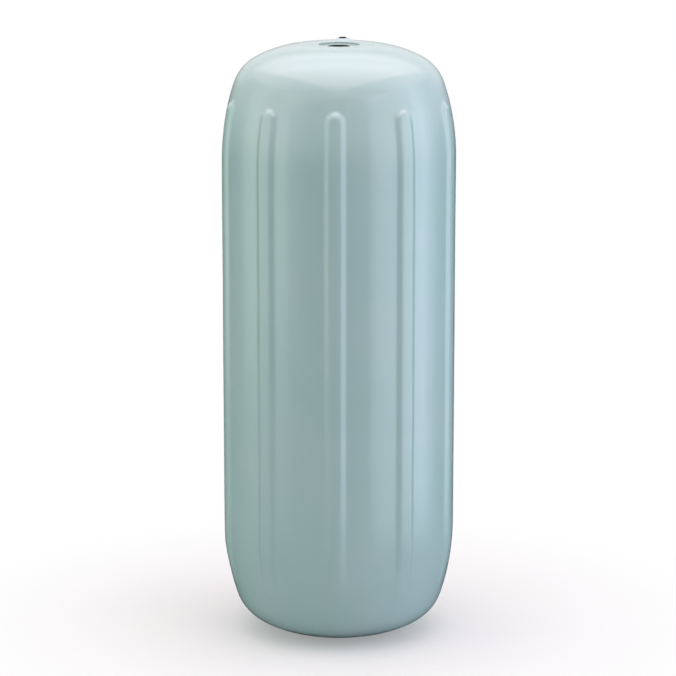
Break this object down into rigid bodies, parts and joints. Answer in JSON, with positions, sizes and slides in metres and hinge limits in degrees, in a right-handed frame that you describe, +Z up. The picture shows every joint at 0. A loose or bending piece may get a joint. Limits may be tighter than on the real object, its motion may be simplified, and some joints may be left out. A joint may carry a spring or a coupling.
{
  "type": "inflatable boat fender",
  "caption": "Inflatable ribbed cylindrical vinyl boat fender with domed ends, a rope hole through its middle and an inflation valve on a low boss.",
  "frame": {"origin": "middle of the flat on the fender's lower end, on the axis of the rope hole", "axes": "+Z up along the rope hole, +Y towards the inflation valve, -Y through the middle of one rib"},
  "size_m": [0.254, 0.262, 0.6556],
  "materials": {
    "vinyl": "high gloss moulded vinyl, pale grey-green",
    "valve_rubber": "matt black rubber"
  },
  "bodies": {
    "root": {"fender_body": "vinyl", "inflation_valve": "valve_rubber"}
  },
  "joints": []
}
